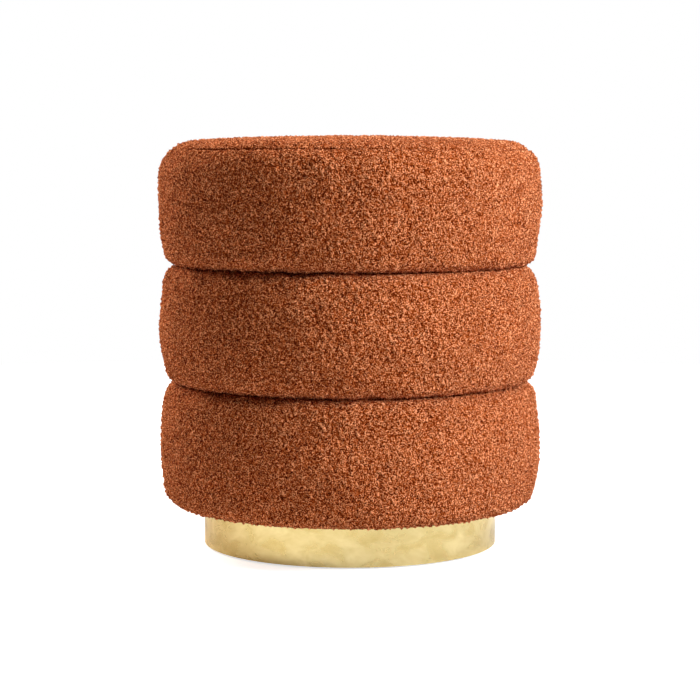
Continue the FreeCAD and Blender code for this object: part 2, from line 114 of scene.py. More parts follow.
# uneven places in the covers: at their seams, where rolls press together, and down the closing seam
PUCKER_SIZE = 11 * MM
PUCKER_REACH = 6 * MM
PUCKER_DEPTH = 0.35 * MM
CALM_REACH = 14 * MM
CLOSING_WIDTH = 1.6 * MM
CLOSING_DEPTH = 0.9 * MM

# the linings' cloth, and the stitched hem of the wall lining
CLOTH_PITCH = 2.5 * MM
HEM = 9 * MM
STITCH_PITCH = 4 * MM
STITCH_WIDTH = 0.45 * MM
WEAVE_PITCH = 0.9 * MM
LINING_COLOURS = ((0.045, 0.02, 0.011), (0.13, 0.066, 0.038))

# the seeds of the random fields
LOOP_SEED, DIP_SEED, STRAY_SEED, PUCKER_SEED = 10, 20, 30, 31
LOWER_SKIN_SEED, MIDDLE_SKIN_SEED, LID_SKIN_SEED = 41, 42, 43
FOLD_SEED, FLOOR_SEED, SLACK_SEED, PLEAT_SEED, DUST_SEED = 51, 52, 53, 54, 55

# the studio
LAMP_DISTANCE = 2.6
LAMP_SIZE = 1.1
COOL = (0.97, 1.06, 1.2)
WARM = (1, 0.9, 0.8)
ROOM_LIGHT = 0.05
FLOOR_RADIUS = 2
FLOOR_GLOW = 0.7
CAMERA_PLACE = (0, -2.10, 0.398)
CAMERA_DIP = math.radians(5.27)
CAMERA_LENS = 102.4


# ------------------------------------------------------------------ outlines


def bulge(tip, corner, corner_radius):
    """A bulge's outline, from its tip to the far end of the corner arc it runs into.

    Points are (outwards, along). The bulge is an arc, tangent to the corner arc where they meet.
    """
    rise = tip[0] - corner[0]
    reach = corner[1] - tip[1]
    radius = (rise ** 2 + reach ** 2 - corner_radius ** 2) / (2 * (rise - corner_radius))
    meet = math.atan2(reach, radius - rise)
    bulge_points, corner_points = 300, 150
    wide = np.linspace(0, meet, bulge_points)
    tight = np.linspace(meet, math.copysign(RIGHT, meet), corner_points)[1:]
    arc = [tip[0] + radius * (np.cos(wide) - 1), tip[1] + radius * np.sin(wide)]
    turn = [corner[0] + corner_radius * np.cos(tight), corner[1] + corner_radius * np.sin(tight)]
    return np.concatenate([np.transpose(arc), np.transpose(turn)])


def roll_side(low, high):
    """The outside of a roll between two levels, from low to high, as (radius, level)."""
    tip = (CROWN_RADIUS, (low + high) / 2)
    lower = bulge(tip, (GROOVE_RADIUS, low + ROLL_CORNER), ROLL_CORNER)
    upper = bulge(tip, (GROOVE_RADIUS, high - ROLL_CORNER), ROLL_CORNER)
    return np.concatenate([lower[::-1], upper[1:]])


def lid_side():
    """The outside of the lid's band, from the parting up to the top seam."""
    tip = (CROWN_RADIUS, LID_CROWN_LEVEL)
    lower = bulge(tip, (GROOVE_RADIUS, LID_BOTTOM + ROLL_CORNER), ROLL_CORNER)
    upper = bulge(tip, (LID_CORNER_RADIUS, LID_CORNER_LEVEL), LID_CORNER)
    return np.concatenate([lower[::-1], upper[1:][upper[1:, 1] <= TOP_SEAM_LEVEL]])


def lid_dome():
    """The top of the lid, from its middle out to the top seam."""
    outline = bulge((LID_TOP, 0), (LID_CORNER_LEVEL, LID_CORNER_RADIUS), LID_CORNER)[:, ::-1]
    return outline[outline[:, 1] >= TOP_SEAM_LEVEL]


def tucked(outline):
    """An outline that stops just short of the top seam and turns in, to end a little below the seam."""
    seam = np.array([TOP_SEAM_RADIUS, TOP_SEAM_LEVEL])
    inwards = (np.array([LID_CORNER_RADIUS, LID_CORNER_LEVEL]) - seam) / LID_CORNER
    kept = outline[np.linalg.norm(outline - seam, axis=1) > TOP_SEAM_GAP]
    return np.concatenate([kept, [seam + inwards * TOP_SEAM_TUCK]])


class Outline:
    """A smooth line in the plane of radius and level, and the way its surface faces.

    The surface faces right of the line's direction if facing is 1 and left of it if facing is -1.
    """

    step = 0.25 * MM

    def __init__(self, points, facing=1, soften=SOFT):
        points = np.asarray(points, float)
        reach = np.concatenate([[0], np.linalg.norm(np.diff(points, axis=0), axis=1).cumsum()])
        self.length = reach[-1]
        self.places = np.linspace(0, self.length, int(self.length / self.step) + 2)
        line = np.column_stack([np.interp(self.places, reach, points[:, axis]) for axis in (0, 1)])
        self.line = self.softened(line, int(soften / self.step))
        forward = np.gradient(self.line, axis=0)
        forward /= np.linalg.norm(forward, axis=1)[:, None]
        self.normals = np.column_stack([forward[:, 1], -forward[:, 0]]) * facing
        self.facing = facing

    @staticmethod
    def softened(line, window):
        """The line with its sharp corners rounded. Its ends stay where they are."""
        half = window // 2
        before = 2 * line[0] - line[half:0:-1]
        after = 2 * line[-1] - line[-2:-half - 2:-1]
        longer = np.concatenate([before, line, after])
        kernel = np.ones(2 * half + 1) / (2 * half + 1)
        return np.column_stack([np.convolve(longer[:, axis], kernel, mode="valid") for axis in (0, 1)])

    def at(self, places):
        """Radius, level and the normal's two parts at distances along the line."""
        columns = (self.line[:, 0], self.line[:, 1], self.normals[:, 0], self.normals[:, 1])
        return [np.interp(places, self.places, column) for column in columns]

    def rows(self, pitch):
        """Distances along the line, a pitch apart.

        The pitch is a number or a function of radius and level.
        """
        places = [0.0]
        while places[-1] < self.length:
            radius, level = self.at(places[-1])[:2]
            places.append(places[-1] + (pitch(radius, level) if callable(pitch) else pitch))
        places = np.array(places)
        return places * self.length / places[-1]


# ------------------------------------------------------------------ noise


def noise(points, seed, size, slope=False):
    """Smooth random numbers at points, about -2 to 2, whose bumps are about a size apart.

    It is a sum of seeded plane waves, so it has the same value wherever a point comes from.
    With slope it also returns how it rises, as a vector at each point.
    """
    random = np.random.default_rng(seed)
    count = 64
    shortest, longest = 0.8, 1.25
    ways = random.normal(size=(count, 3))
    wavelengths = size * random.uniform(shortest, longest, count)
    ways *= (TURN / wavelengths / np.linalg.norm(ways, axis=1))[:, None]
    angles = points @ ways.T + random.uniform(0, TURN, count)
    scale = math.sqrt(2 / count)
    value = np.cos(angles).sum(axis=1) * scale
    return (value, -np.sin(angles) @ ways * scale) if slope else value


def curls(points, normals):
    """Height of the looped boucle yarn at points on a cover, from 0 in the gaps to 1 on the loops.

    Each layer is yarn laid along the contour lines of a random field, which close into loops, and the
    layers dip over and under each other. A few stray loops stand up above 1.
    """
    usual_lift, dip, lowest_lift = 0.62, 0.26, 0.1
    stray_from = 0.8
    height = np.zeros(len(points))
    for layer in range(YARN_LAYERS):
        field, slope = noise(points, LOOP_SEED + layer, LOOP_SIZE, slope=True)
        slope -= normals * (slope * normals).sum(axis=1)[:, None]
        contour = np.round(field / LOOP_STEP) * LOOP_STEP
        distance = np.abs(field - contour) / np.linalg.norm(slope, axis=1)
        strand = np.sqrt(np.clip(1 - (distance / YARN_RADIUS) ** 2, 0, 1))
        lift = usual_lift + dip * noise(points, DIP_SEED + layer, DIP_SIZE)
        height = np.maximum(height, strand * np.clip(lift, lowest_lift, 1))
    stray = np.clip(noise(points, STRAY_SEED, STRAY_SIZE) - stray_from, 0, 1)
    return height + STRAY_LOOPS * stray


# ------------------------------------------------------------------ cloth simulation


def cubic(places, count, wraps):
    """The four grid lines round each place and their weights, for smooth reading between them."""
    low = np.floor(places).astype(int)
    part = places - low
    weights = [
        (-part + 2 * part ** 2 - part ** 3) / 2,
        (2 - 5 * part ** 2 + 3 * part ** 3) / 2,
        (part + 4 * part ** 2 - 3 * part ** 3) / 2,
        (-(part ** 2) + part ** 3) / 2,
    ]
    lines = [low + shift for shift in (-1, 0, 1, 2)]
    lines = [line % count if wraps else np.clip(line, 0, count - 1) for line in lines]
    return list(zip(lines, weights))


class Settled:
    """How a padded skin moves when its cloth is blown up against its sewn edges.

    The skin is cut a little full and simulated as cloth with pressure under it, held where the outline
    is pinned. What is kept is the unevenness: the mean shape all round stays the outline's.
    """

    # its grid of points, how it is blown up, the uneven start it is given and how far it may move
    columns = 160
    row_pitch = 7.5 * MM
    fullness = 0.012
    pressure = 4
    frames = 20
    rough_size = 45 * MM
    rough_depth = 0.5 * MM
    most_move = 0.7 * MM

    def __init__(self, outline, pinned, seed):
        self.outline = outline
        self.rows = np.linspace(0, outline.length, int(outline.length / self.row_pitch) + 2)
        radius, level, out_r, out_z = outline.at(self.rows)
        turn = np.arange(self.columns) * TURN / self.columns
        around = np.stack([np.cos(turn), np.sin(turn), 0 * turn], axis=1)
        up = np.array([0, 0, 1.0])
        start = radius[:, None, None] * around + level[:, None, None] * up
        normals = out_r[:, None, None] * around + out_z[:, None, None] * up
        flat = start.reshape(-1, 3)
        held = np.repeat(pinned(radius, level), self.columns)
        rough = noise(flat, seed, self.rough_size) * self.rough_depth * ~held
        moved = self.simulate(flat + normals.reshape(-1, 3) * rough[:, None], held)
        moves = (moved - flat).reshape(start.shape)
        sideways = np.cross(up, around)
        parts = [(moves * axis).sum(axis=2) for axis in (around, sideways, up)]
        parts = [part - part.mean(axis=1, keepdims=True) for part in parts]
        moves = sum(part[:, :, None] * axis for part, axis in zip(parts, (around, sideways, up)))
        size = np.linalg.norm(moves, axis=2, keepdims=True)
        self.moves = moves * np.minimum(1, self.most_move / np.maximum(size, 1e-9))

    def simulate(self, points, held):
        """Where the points are once the cloth has been blown up."""
        rows = len(self.rows)
        index = np.arange(rows * self.columns).reshape(rows, self.columns)
        beside = np.roll(index, -1, axis=1)
        quads = np.stack([index[:-1], beside[:-1], beside[1:], index[1:]], axis=2).reshape(-1, 4)
        if self.outline.facing < 0:
            quads = quads[:, ::-1]
        mesh = bpy.data.meshes.new("cloth")
        mesh.from_pydata(points.tolist(), [], quads.tolist())
        skin = bpy.data.objects.new("cloth", mesh)
        bpy.context.scene.collection.objects.link(skin)
        skin.vertex_groups.new(name="held").add(np.flatnonzero(held).tolist(), 1.0, "REPLACE")
        cloth = skin.modifiers.new("cloth", "CLOTH")
        cloth.settings.quality = 6
        cloth.settings.mass = 0.25
        cloth.settings.tension_stiffness = 25
        cloth.settings.compression_stiffness = 25
        cloth.settings.shear_stiffness = 15
        cloth.settings.bending_stiffness = 3
        cloth.settings.use_pressure = True
        cloth.settings.uniform_pressure_force = self.pressure
        cloth.settings.effector_weights.gravity = 0
        cloth.settings.shrink_min = -self.fullness
        cloth.settings.vertex_group_mass = "held"
        scene = bpy.context.scene
        for step in range(1, self.frames + 1):
            scene.frame_set(step)
        blown = skin.evaluated_get(bpy.context.evaluated_depsgraph_get())
        places = np.zeros(len(points) * 3)
        blown.data.vertices.foreach_get("co", places)
        bpy.data.objects.remove(skin)
        bpy.data.meshes.remove(mesh)
        scene.frame_set(1)
        return places.reshape(-1, 3)

    def at(self, places, turns):
        """How far the skin has moved at distances along its outline and angles round it."""
        row = places / self.outline.length * (len(self.rows) - 1)
        column = turns / TURN * self.columns
        total = np.zeros((len(places), 3))
        for line, weight in cubic(row, len(self.rows), wraps=False):
            for post, share in cubic(column, self.columns, wraps=True):
                total += self.moves[line, post] * (weight * share)[:, None]
        return total


# ------------------------------------------------------------------ nets of triangles


def strip(low, high, shift):
    """Triangles between two rows of as many points.

    shift is 1 if the high row lies half a point further on, -1 if the low row does, and otherwise 0.
    """
    low_next, high_next = np.roll(low, -1), np.roll(high, -1)
    if shift >= 0:
        pair = [(low, low_next, high), (low_next, high_next, high)]
    else:
        pair = [(low, low_next, high_next), (low, high_next, high)]
    return [np.stack(corners, axis=1) for corners in pair]


class Net:
    """Points on a shell, each a distance along an outline, an angle and a side, and their triangles."""

    def __init__(self):
        self.places, self.turns, self.inner, self.triangles = [], [], [], []
        self.count = 0

    def row(self, place, columns, inner, shifted=False):
        """Adds a row of points round the axis and returns their numbers."""
        self.places.append(np.full(columns, place))
        self.turns.append((np.arange(columns) + 0.5 * shifted) * TURN / columns)
        self.inner.append(np.full(columns, inner))
        self.count += columns
        return np.arange(self.count - columns, self.count)

    def done(self, facing):
        """Each point's place, angle and side, and the triangles, wound for that facing."""
        places, turns, inner = (np.concatenate(x) for x in (self.places, self.turns, self.inner))
        triangles = np.concatenate(self.triangles)
        return places, turns, inner, triangles if facing > 0 else triangles[:, ::-1]


def ring_net(outline, columns, pitch):
    """A shell round the axis: rows up the outside, then a few rows back down the inside."""
    net = Net()
    rows = [(place, False) for place in outline.rows(pitch)]
    rows += [(place, True) for place in outline.rows(HIDDEN_PITCH)[::-1]]
    numbers = [net.row(place, columns, inner, i % 2 == 1) for i, (place, inner) in enumerate(rows)]
    for i, low in enumerate(numbers):
        after = (i + 1) % len(numbers)
        shift = after % 2 - i % 2
        net.triangles += strip(low, numbers[after], shift)
    return net.done(outline.facing)


def disc_net(outline, flat_radius, pitch, edge_pitch):
    """A shell across the axis: a disc of even triangles, its edge, then a few rows back inside."""
    net = Net()
    rings = round(flat_radius / pitch)
    first = net.row(0.0, 1, False)
    low = first
    for ring in range(1, rings + 1):
        high = net.row(flat_radius * ring / rings, 6 * ring, False)
        for sixth in range(6):
            outer = high[(sixth * ring + np.arange(ring + 1)) % (6 * ring)]
            if ring == 1:
                net.triangles.append(np.array([[outer[1], outer[0], low[0]]])[:, ::-1])
                continue
            inner = low[(sixth * (ring - 1) + np.arange(ring)) % (6 * (ring - 1))]
            net.triangles.append(np.stack([outer[:-1], inner, outer[1:]], axis=1))
            net.triangles.append(np.stack([inner[:-1], inner[1:], outer[1:-1]], axis=1))
        low = high
    columns = 6 * rings
    edge = [place for place in outline.rows(edge_pitch) if place > flat_radius + edge_pitch / 2]
    back = [place for place in outline.rows(HIDDEN_PITCH)[::-1] if place > HIDDEN_PITCH]
    shifted = False
    for place, inner in [(place, False) for place in edge] + [(place, True) for place in back]:
        shifted = not shifted
        high = net.row(place, columns, inner, shifted)
        net.triangles += strip(low, high, 1 if shifted else -1)
        low = high
    last = net.row(0.0, 1, True)
    net.triangles.append(np.stack([low, np.roll(low, -1), np.full(columns, last[0])], axis=1))
    return net.done(outline.facing)


def mesh_piece(name, points, triangles, heights=None):
    """A smooth-shaded mesh object of those triangles. heights is kept on its points as "pile"."""
    mesh = bpy.data.meshes.new(name)
    mesh.vertices.add(len(points))
    mesh.vertices.foreach_set("co", np.ascontiguousarray(points, np.float32).ravel())
    mesh.loops.add(triangles.size)
    mesh.loops.foreach_set("vertex_index", np.ascontiguousarray(triangles, np.int32).ravel())
    mesh.polygons.add(len(triangles))
    mesh.polygons.foreach_set("loop_start", np.arange(len(triangles), dtype=np.int32) * 3)
    mesh.update(calc_edges=True)
    mesh.shade_smooth()
    if heights is not None:
        pile = mesh.attributes.new("pile", "FLOAT", "POINT")
        pile.data.foreach_set("value", heights.astype(np.float32))
    piece = bpy.data.objects.new(name, mesh)
    bpy.context.scene.collection.objects.link(piece)
    return piece


def turned_points(outline, net, thickness):
    """Where a net's points are on a turned shell, and which way its outside faces there."""
    places, turns, inner, _ = net
    radius, level, out_r, out_z = outline.at(places)
    normals = np.column_stack([out_r * np.cos(turns), out_r * np.sin(turns), out_z])
    points = np.column_stack([radius * np.cos(turns), radius * np.sin(turns), level])
    return points - normals * (thickness * inner)[:, None], normals


# ------------------------------------------------------------------ boucle covers


def boucle_cover(name, outline, net, skin, skin_places, seams, body):
    """A cover: its outline turned round the axis, settled as cloth, puckered at its seams, with pile.

    The skin moves less where rolls press together. A closing seam runs down its back.
    """
    places, turns, inner, triangles = net
    points, normals = turned_points(outline, net, COVER)
    radius = np.hypot(points[:, 0], points[:, 1])
    least_move = 0.1
    free = np.clip((radius - GROOVE_RADIUS) / CALM_REACH, least_move, 1)
    free = np.maximum(free, points[:, 2] > NEAR_TOP)
    points += skin.at(skin_places(places), turns) * free[:, None]
    outside = ~inner
    near = np.min([np.hypot(radius - r, points[:, 2] - z) for r, z in seams], axis=0)
    pucker = noise(points, PUCKER_SEED, PUCKER_SIZE) * np.exp(-near / PUCKER_REACH) * PUCKER_DEPTH
    closing = np.exp(-(points[:, 0] / CLOSING_WIDTH) ** 2) * (points[:, 1] > 0) * CLOSING_DEPTH
    height = curls(points, normals) * outside
    pile = (height * PILE - PILE_SINK) * standing(radius, points[:, 2])
    lift = (pile + pucker - closing) * out_of_seam(radius, points[:, 2]) * outside
    points += normals * lift[:, None]
    # the yarn's height is kept on the mesh as pile, from which the finish paints shade into the gaps
    # between loops
    piece = mesh_piece(name.replace("cover", "boucle"), points, triangles, height)
    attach(piece, body)
    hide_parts(name)
    return piece


def standing(radius, level):
    """How tall the pile stands: full on the outside, and low where covers press on each other."""
    pressed = 0.4
    groove_depth, groove_reach = 2 * MM, 6 * MM
    top_depth, top_reach = 20 * MM, 10 * MM
    free = np.clip((radius - GROOVE_RADIUS + groove_depth) / groove_reach, 0, 1)
    top = np.clip((level - TOP_SEAM_LEVEL + top_depth) / top_reach, 0, 1)
    return pressed + (1 - pressed) * np.maximum(free, top)


def out_of_seam(radius, level):
    """1 on a cover's outside, falling to 0 where the lid's covers turn in to meet at the top seam."""
    reach = np.hypot(radius - LID_CORNER_RADIUS, level - LID_CORNER_LEVEL)
    return np.clip((reach - LID_CORNER + TOP_SEAM_TUCK) / TOP_SEAM_TUCK, 0, 1)


def side_pitch(radius, level):
    """Rows are close together where a cover shows, and wider apart on its flaps."""
    seen_depth = 6 * MM
    shows = radius > GROOVE_RADIUS - seen_depth or level > NEAR_TOP
    return PITCH if shows else FLAP_PITCH


def is_pinned(radius, level):
    """Covers are held on their flat flaps, and the lid's cover also at its top seam."""
    at_seam = np.abs(level - TOP_SEAM_LEVEL) < Settled.row_pitch / 3
    return ((radius < GROOVE_RADIUS) & (level < NEAR_TOP)) | at_seam


def body_covers():
    """The covers of the lower and middle rolls, sewn together deep in the groove."""
    groove = (GROOVE_RADIUS - SEAM_ALLOWANCE, GROOVE_LEVEL)
    columns = round(TURN * CROWN_RADIUS / PITCH)
    lower = [(TURN_UNDER, UNDERSIDE), *roll_side(UNDERSIDE, GROOVE_LEVEL), groove]
    face = WALL_INNER - COVER
    middle = [groove, *roll_side(GROOVE_LEVEL, BODY_TOP), (face, BODY_TOP), (face, TURN_IN_LEVEL)]
    pieces = []
    covers = (
        ("lower_roll_cover", lower, LOWER_SKIN_SEED),
        ("middle_roll_cover", middle, MIDDLE_SKIN_SEED),
    )
    for name, points, seed in covers:
        outline = Outline(points)
        skin = Settled(outline, is_pinned, seed)
        net = ring_net(outline, columns, side_pitch)
        seams = [(GROOVE_RADIUS, GROOVE_LEVEL)]
        pieces.append(boucle_cover(name, outline, net, skin, lambda places: places, seams, "base"))
    return pieces


def lid_covers():
    """The covers of the lid: a band round its side and a panel on its top, sewn along the top edge."""
    side, dome = lid_side(), lid_dome()
    flap = (LID_TURN_UNDER, LID_BOTTOM)
    whole = Outline([flap, *side, *dome[-2::-1]], soften=CRISP)
    skin = Settled(whole, is_pinned, LID_SKIN_SEED)
    seams = [(TOP_SEAM_RADIUS, TOP_SEAM_LEVEL)]
    band = Outline([flap, *tucked(side)], soften=CRISP)
    columns = round(TURN * CROWN_RADIUS / PITCH)
    net = ring_net(band, columns, side_pitch)
    side_piece = boucle_cover("lid_side_cover", band, net, skin, lambda places: places, seams, "lid")
    top = Outline(tucked(dome), facing=-1, soften=CRISP)
    edge_width = 9 * MM
    net = disc_net(top, top.length - edge_width, PITCH, PITCH / 2)
    top_piece = boucle_cover(
        "lid_top_cover", top, net, skin, lambda places: whole.length - places, seams, "lid"
    )
    return [side_piece, top_piece]


# ------------------------------------------------------------------ linings


def lining(name, outline, net, wrinkles):
    """A thin cloth on a turned outline, in place of a CAD node of that name.

    wrinkles gives how far it stands off at its points.
    """
    points, normals = turned_points(outline, net, LINING)
    points += normals * (wrinkles(points) * ~net[2])[:, None]
    piece = mesh_piece(f"{name}_cloth", points, net[3])
    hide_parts(name)
    return piece


def one_stitch(length, width):
    """The points and triangles of one stitch: a rod along Y that tapers towards its ends."""
    along = np.array([-0.5, -0.42, -0.2, 0.2, 0.42, 0.5]) * length
    reach = np.array([0.15, 0.7, 1, 1, 0.7, 0.15]) * width / 2
    sides = 6
    turn = np.arange(sides) * TURN / sides
    out = np.cos(turn) * reach[:, None]
    up = np.sin(turn) * reach[:, None]
    points = np.stack([out, np.broadcast_to(along[:, None], out.shape), up], axis=2).reshape(-1, 3)
    first = np.arange(sides)
    triangles = []
    for i in range(len(along) - 1):
        triangles += strip(first + sides * i, first + sides * (i + 1), 0)
    near_end = np.stack([np.zeros(sides - 2, int), first[2:], first[1:-1]], axis=1)
    far_end = near_end[:, ::-1] + sides * (len(along) - 1)
    return points, np.concatenate([*triangles, near_end, far_end])


def stitch_ring(name, radius, level):
    """A row of thread stitches round the inside of the wall lining."""
    stitched_share = 0.72
    points, triangles = one_stitch(STITCH_PITCH * stitched_share, STITCH_WIDTH)
    count = round(TURN * radius / STITCH_PITCH)
    angle = np.arange(count)[:, None] * TURN / count
    out, along, up = points.T
    x = (radius + out) * np.cos(angle) - along * np.sin(angle)
    y = (radius + out) * np.sin(angle) + along * np.cos(angle)
    z = np.broadcast_to(up + level, x.shape)
    numbers = triangles + (np.arange(count) * len(points))[:, None, None]
    return mesh_piece(name, np.stack([x, y, z], axis=2).reshape(-1, 3), numbers.reshape(-1, 3))


def wall_lining():
    """The cloth round the storage space, hemmed at the top, and the stitches of its hem."""
    face = WALL_INNER - LINING
    stitch_level = TURN_IN_LEVEL - HEM * 0.75
    stitch_stand_off = 0.75 * MM
    hem_reach, hem_thickness = 1.5 * MM, 0.5 * MM
    dent_reach, dent_depth = 1 * MM, 0.35 * MM
    closing_reach, closing_depth = 1.2 * MM, 0.4 * MM

    def wrinkles(points):
        """Upright folds, a thicker hem, a dent under the stitches and a closing seam at the back."""
        folds = noise(points * (1, 1, 0.2), FOLD_SEED, 34 * MM)
        hem = np.clip((points[:, 2] - TURN_IN_LEVEL + HEM) / hem_reach, 0, 1) * hem_thickness
        dent = np.exp(-((points[:, 2] - stitch_level) / dent_reach) ** 2) * dent_depth
        closing = np.exp(-(points[:, 0] / closing_reach) ** 2) * (points[:, 1] > 0) * closing_depth
        return np.clip(0.35 + 0.25 * folds, 0, 1) * MM + hem - dent - closing

    outline = Outline([(face, TURN_IN_LEVEL), (face, FLOOR_LEVEL - LINING)], soften=CRISP)
    net = ring_net(outline, round(TURN * face / CLOTH_PITCH), 1.2 * MM)
    stitches = stitch_ring("wall_lining_stitches", face - stitch_stand_off, stitch_level)
    wall = lining(
        "wall_lining", outline, net, wrinkles,
    )
    return wall, stitches


def floor_lining():
    """A disc of cloth laid on the floor of the storage space."""
    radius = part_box("floor_lining")[1].x

    def wrinkles(points):
        return np.clip(0.3 + 0.3 * noise(points, FLOOR_SEED, 40 * MM), 0, 1) * 0.9 * MM

    outline = Outline([(0, FLOOR_LEVEL), (radius, FLOOR_LEVEL)], facing=-1)
    net = disc_net(outline, radius - CLOTH_PITCH, CLOTH_PITCH, CLOTH_PITCH / 2)
    return lining(
        "floor_lining", outline, net, wrinkles
    )


def lid_lining():
    """The cloth stretched over the locating disc, down its edge and out over the lid board."""
    disc = DISC_RADIUS + LINING
    ledge = LID_BOTTOM + COVER - LINING
    pleat_reach, pleat_depth = 7 * MM, 0.22 * MM

    def wrinkles(points):
        """A slightly slack face, gathered into small pleats at the disc's edge."""
        radius = np.hypot(points[:, 0], points[:, 1])
        edge = np.exp(-((radius - DISC_RADIUS) / pleat_reach) ** 2)
        slack = (0.15 + 0.1 * noise(points, SLACK_SEED, 45 * MM)) * MM
        return slack + noise(points, PLEAT_SEED, 11 * MM) * edge * pleat_depth

    corners = [(0, DISC_BOTTOM), (disc, DISC_BOTTOM), (disc, ledge), (LID_TURN_UNDER, ledge)]
    outline = Outline(corners)
    net = disc_net(outline, disc - 3 * CLOTH_PITCH, CLOTH_PITCH, CLOTH_PITCH / 2)
    return lining(
        "lid_under_lining", outline, net, wrinkles,
    )


def dust_lining():
    """The thin cloth stretched across the underside of the plinth."""
    low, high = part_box("dust_cover")

    def wrinkles(points):
        return np.clip(noise(points, DUST_SEED, 30 * MM), -1, 1) * 0.2 * MM

    outline = Outline([(0, low.z), (high.x, low.z)])
    net = disc_net(outline, high.x - CLOTH_PITCH, CLOTH_PITCH, CLOTH_PITCH / 2)
    return lining(
        "dust_cover", outline, net, wrinkles
    )


def linings():
    """The cloth inside the storage space, on the lid's underside and under the plinth."""
    wall, stitches = wall_lining()
    laid = floor_lining()
    under = lid_lining()
    dust = dust_lining()
    for piece in (wall, stitches, laid, dust):
        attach(piece, "base")
    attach(under, "lid")
    return wall, stitches, laid, under, dust


# ------------------------------------------------------------------ materials


class Finish:
    """A material built up from nodes round one Principled shader."""

    def __init__(self, name):
        self.material = bpy.data.materials.new(name)
        self.material.use_nodes = True
        self.tree = self.material.node_tree
        self.shader = self.tree.nodes["Principled BSDF"]
        self.here = self.node("TexCoord").outputs["Object"]

    def node(self, kind, inputs=None, **settings):
        """A new node. inputs maps each input to a number, a colour or another node's output."""
        made = self.tree.nodes.new("ShaderNode" + kind)
        for key, value in settings.items():
            setattr(made, key, value)
        for key, value in (inputs or {}).items():
            self.put(made, key, value)
        return made

    def put(self, node, key, value):
        """Sets one input to a number or a colour, or links it to another node's output."""
        if isinstance(value, bpy.types.NodeSocket):
            self.tree.links.new(value, node.inputs[key])
        else:
            node.inputs[key].default_value = value

    def surface(self, **values):
        """Sets the shader's inputs, named with _ for each space."""
        for key, value in values.items():
            self.put(self.shader, key.replace("_", " "), value)

    def stretch(self, x, y, z):
        """The surface's own coordinates, drawn out along each axis."""
        return self.node("VectorMath", {0: self.here, 1: (x, y, z)}, operation="MULTIPLY").outputs[0]

    def wander(self, size, reach):
        """The surface's own coordinates, pushed about by a smooth noise."""
        field = self.node("TexNoise", {"Vector": self.here, "Scale": 1 / size, "Detail": 0.0})
        push = field.outputs["Color"]
        push = self.node("VectorMath", {0: push, 1: (0.5, 0.5, 0.5)}, operation="SUBTRACT").outputs[0]
        push = self.scaled(push, reach)
        return self.node("VectorMath", {0: self.here, 1: push}, operation="ADD").outputs[0]

    def scaled(self, colour, factor):
        """A colour or direction times a factor."""
        return self.node("VectorMath", {0: colour, "Scale": factor}, operation="SCALE").outputs[0]

    def noise(self, size, detail=2.0, where=None, roughness=0.5, distortion=0.0):
        """Smooth noise from 0 to 1 whose features are about size metres across."""
        inputs = {"Vector": where or self.here, "Scale": 1 / size, "Detail": detail}
        inputs |= {"Roughness": roughness, "Distortion": distortion}
        return self.node("TexNoise", inputs).outputs[0]

    def maths(self, operation, first, second=0.0, third=0.0):
        """One sum on up to three values."""
        return self.node("Math", {0: first, 1: second, 2: third}, operation=operation).outputs[0]

    def between(self, value, low, high, to_low=0.0, to_high=1.0):
        """The value moved from one range to another, held at its ends."""
        inputs = {"Value": value, "From Min": low, "From Max": high}
        inputs |= {"To Min": to_low, "To Max": to_high}
        return self.node("MapRange", inputs, clamp=True).outputs[0]

    def ramp(self, value, *stops):
        """A colour for each value, smoothly between stops of (value, colour)."""
        made = self.node("ValToRGB", {"Fac": value})
        points = made.color_ramp.elements
        while len(points) < len(stops):
            points.new(0.5)
        for point, (place, colour) in zip(points, stops):
            point.position = place
            point.color = (*colour, 1)
        return made.outputs[0]

    def bump(self, height, distance):
        """The surface normal, roughened by a height from 0 to 1 that stands for a distance."""
        return self.node("Bump", {"Height": height, "Distance": distance}).outputs[0]


def rust_boucle():
    """Looped yarn with painted shade: saturated in the gaps, paler on the tops of the loops, with a
    faint sheen.

    The mesh gives the height of the pile. Strands and fibres too fine for the mesh are added to it.
    """
    finish = Finish("rust_boucle")
    pile = finish.node("Attribute", attribute_name="pile").outputs["Fac"]
    yarn = finish.noise(YARN_RADIUS, detail=0, where=finish.wander(3 * MM, 0.4 * MM))
    strands_across = 1.6
    strand = finish.maths("COSINE", finish.maths("MULTIPLY", yarn, strands_across * TURN))
    strand = finish.maths("MULTIPLY_ADD", strand, 0.5, 0.5)
    # strands that dip under others are lowered and darkened: painted shade where they sink
    sunk = finish.between(finish.noise(3 * MM, detail=0), 0.35, 0.65, 0.78, 1.0)
    strand = finish.maths("MULTIPLY", strand, sunk)
    fibre = finish.between(finish.noise(1.2 * MM, detail=0), 0.25, 0.75)
    # painted shade: the colour ramp darkens with the pile's height, the strands and where they sink,
    # deepest in the gaps between loops
    painted_shade_level = finish.maths("MULTIPLY_ADD", pile, 0.18, finish.maths("MULTIPLY", strand, 0.54))
    painted_shade_level = finish.maths("MULTIPLY_ADD", fibre, 0.28, painted_shade_level)
    colour = finish.ramp(
        finish.between(painted_shade_level, 0.19, 0.84),
        (0.0, (0.06, 0.004, 0.0001)),
        (0.33, (0.23, 0.029, 0.002)),
        (0.7, (0.53, 0.113, 0.024)),
        (1.0, (1.0, 0.39, 0.17)),
    )
    patches = finish.between(finish.noise(35 * MM, detail=3), 0.3, 0.7, 0.94, 1.06)
    height = finish.maths("MULTIPLY_ADD", fibre, 0.3, finish.maths("MULTIPLY", strand, 0.7))
    finish.surface(Base_Color=finish.scaled(colour, patches), Roughness=0.9, Specular_IOR_Level=0.01)
    finish.surface(Sheen_Weight=0.04, Sheen_Roughness=0.45, Sheen_Tint=(1, 0.8, 0.68, 1))
    finish.surface(Normal=finish.bump(height, 1.2 * MM))
    return finish.material


